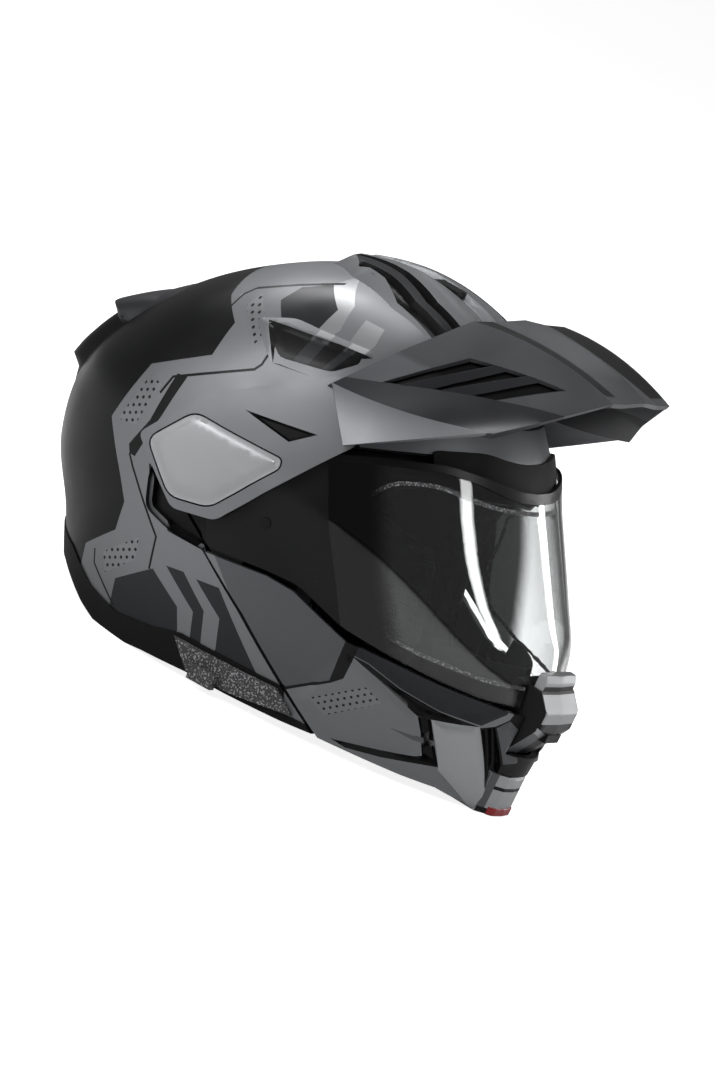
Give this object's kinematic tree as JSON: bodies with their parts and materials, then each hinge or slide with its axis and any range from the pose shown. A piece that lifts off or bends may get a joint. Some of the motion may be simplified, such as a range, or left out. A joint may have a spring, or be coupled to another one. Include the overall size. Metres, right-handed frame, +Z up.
{
  "type": "dual sport helmet",
  "caption": "Standing dual sport helmet with flip-up chin bar, clear face shield, drop-down sun lens, vented peak, impact foam, pads and a ratchet-buckled chin strap.",
  "frame": {"origin": "middle of the bounding box on the plane that the helmet's lower edge rests on", "axes": "+Z up, -Y to the face side, +X to the wearer's left"},
  "size_m": [0.2606, 0.3502, 0.2529],
  "materials": {
    "shell_paint": "satin",
    "silver_paint": "satin",
    "dark_paint": "satin",
    "black_plastic": "matte",
    "grey_plastic": "matte",
    "foam": "matte",
    "lining": "matte",
    "strap": "matte",
    "seal": "matte",
    "clear": "gloss",
    "sun_tint": "gloss",
    "red_plastic": "satin",
    "steel": "brushed"
  },
  "bodies": {
    "shell": {"outer_shell": "shell_paint", "shell_liner_crown": "foam", "shell_liner_left": "foam", "shell_liner_right": "foam", "crown_pad": "lining", "cheek_pad_left": "lining", "cheek_pad_right": "lining", "neck_roll": "lining", "base_trim": "seal", "eyeport_gasket": "seal", "latch_strikers": "steel", "pivot_base_left": "black_plastic", "pivot_base_right": "black_plastic", "pivot_pins": "steel", "sun_visor_pins": "steel", "rim_plate_left": "grey_plastic", "rim_plate_right": "grey_plastic", "crown_vent": "black_plastic", "side_scoop_left": "black_plastic", "side_scoop_right": "black_plastic", "rear_spoiler": "black_plastic", "brow_cap": "black_plastic", "chin_strap_left": "strap", "chin_strap_right": "strap", "strap_rivets": "steel", "buckle_frame": "black_plastic", "buckle_pin": "steel"},
    "chin_bar": {"chin_bar_shell": "silver_paint", "chin_bar_foam_left": "foam", "chin_bar_foam_right": "foam", "chin_grille_left": "black_plastic", "chin_grille_right": "black_plastic", "chin_side_vent_left": "black_plastic", "chin_side_vent_right": "black_plastic", "breath_deflector": "seal", "chin_curtain": "lining", "chin_arm_left": "black_plastic", "chin_arm_right": "black_plastic", "latch_hinge_pins": "steel", "nose_block": "black_plastic", "latch_block": "black_plastic"},
    "latch_left": {"latch_hook_left": "black_plastic"},
    "latch_right": {"latch_hook_right": "black_plastic"},
    "nose_slider": {"nose_vent_slider": "black_plastic"},
    "button": {"release_button": "red_plastic"},
    "face_shield": {"shield_lens": "clear", "shield_studs": "black_plastic", "antifog_lens": "clear", "shield_tab": "black_plastic"},
    "sun_visor": {"sun_visor_lens": "sun_tint"},
    "sun_lever": {"sun_visor_lever": "grey_plastic"},
    "crown_slider": {"crown_vent_slider": "black_plastic"},
    "peak": {"peak_shell": "dark_paint", "peak_louvre_left": "black_plastic", "peak_louvre_right": "black_plastic", "peak_arm_left": "silver_paint", "peak_arm_right": "silver_paint", "side_lid_left": "silver_paint", "side_lid_right": "silver_paint"},
    "strap_lever": {"buckle_lever": "black_plastic"}
  },
  "joints": [
    {"name": "chin_bar_flip", "type": "hinge", "parent": "shell", "child": "chin_bar", "pos_m": [0, 0.0309, 0.122], "axis": [-1, 0, 0], "range_deg": [0, 75]},
    {"name": "shield_lift", "type": "hinge", "parent": "chin_bar", "child": "face_shield", "pos_m": [0, 0.0309, 0.122], "axis": [-1, 0, 0], "range_deg": [0, 40]},
    {"name": "peak_tilt", "type": "hinge", "parent": "chin_bar", "child": "peak", "pos_m": [0, 0.0309, 0.122], "axis": [-1, 0, 0], "range_deg": [0, 10]},
    {"name": "sun_visor_drop", "type": "hinge", "parent": "shell", "child": "sun_visor", "pos_m": [0, 0.0309, 0.122], "axis": [1, 0, 0], "range_deg": [0, 34]},
    {"name": "sun_lever_slide", "type": "slide", "parent": "shell", "child": "sun_lever", "axis": [0.2009, -0.9744, -0.1005], "range_m": [0, 0.022]},
    {"name": "crown_vent_slide", "type": "slide", "parent": "shell", "child": "crown_slider", "axis": [0, 1, 0], "range_m": [0, 0.008]},
    {"name": "nose_vent_slide", "type": "slide", "parent": "chin_bar", "child": "nose_slider", "axis": [0, 0, 1], "range_m": [0, 0.004]},
    {"name": "release_press", "type": "slide", "parent": "chin_bar", "child": "button", "axis": [0, 0, 1], "range_m": [0, 0.003], "stiffness_N_per_m": 700, "springref_m": -0.001},
    {"name": "latch_left_pull", "type": "hinge", "parent": "chin_bar", "child": "latch_left", "pos_m": [0.08, -0.0951, 0.03492], "axis": [-1, 0, 0], "range_deg": [0, 10]},
    {"name": "latch_right_pull", "type": "hinge", "parent": "chin_bar", "child": "latch_right", "pos_m": [-0.08, -0.0951, 0.03492], "axis": [-1, 0, 0], "range_deg": [0, 10]},
    {"name": "buckle_lever_lift", "type": "hinge", "parent": "shell", "child": "strap_lever", "pos_m": [-0.0501, 0.0169, 0.01102], "axis": [0, -1, 0], "range_deg": [0, 60]}
  ],
  "couplings": [
    {"joint": "sun_lever_slide", "follows": "sun_visor_drop", "m_per_rad": 0.037073},
    {"joint": "latch_left_pull", "follows": "release_press", "rad_per_m": 58.168},
    {"joint": "latch_right_pull", "follows": "release_press", "rad_per_m": 58.168}
  ]
}
